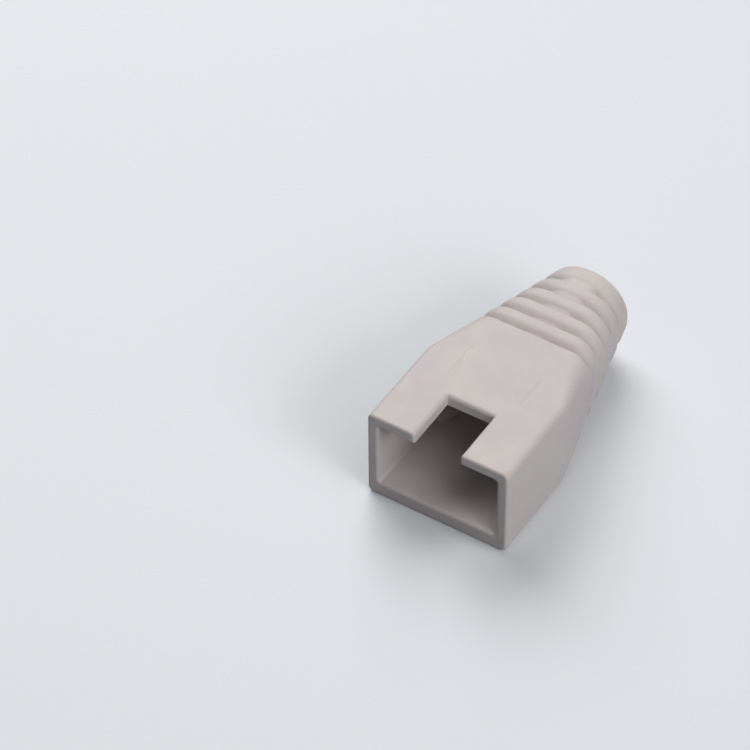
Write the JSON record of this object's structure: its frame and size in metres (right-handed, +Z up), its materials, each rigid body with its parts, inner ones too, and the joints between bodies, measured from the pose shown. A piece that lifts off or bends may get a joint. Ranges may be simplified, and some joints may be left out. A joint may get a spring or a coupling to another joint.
{
  "type": "rj45 strain relief boot",
  "caption": "Slip-on moulded boot with a square plug socket, a latch slot, a narrowing neck and a ribbed round tail for the cable.",
  "frame": {"origin": "bottom centre of the boot's bounding box, on the surface that it lies on", "axes": "+Y along the cable, from the plug's mouth to the ribbed tail; +Z up, through the latch slot; +X across"},
  "size_m": [0.014, 0.0264, 0.0095],
  "materials": {
    "soft_pvc": "matte, as moulded, soft PVC"
  },
  "bodies": {
    "root": {"strain_relief_boot": "soft_pvc"}
  },
  "joints": []
}
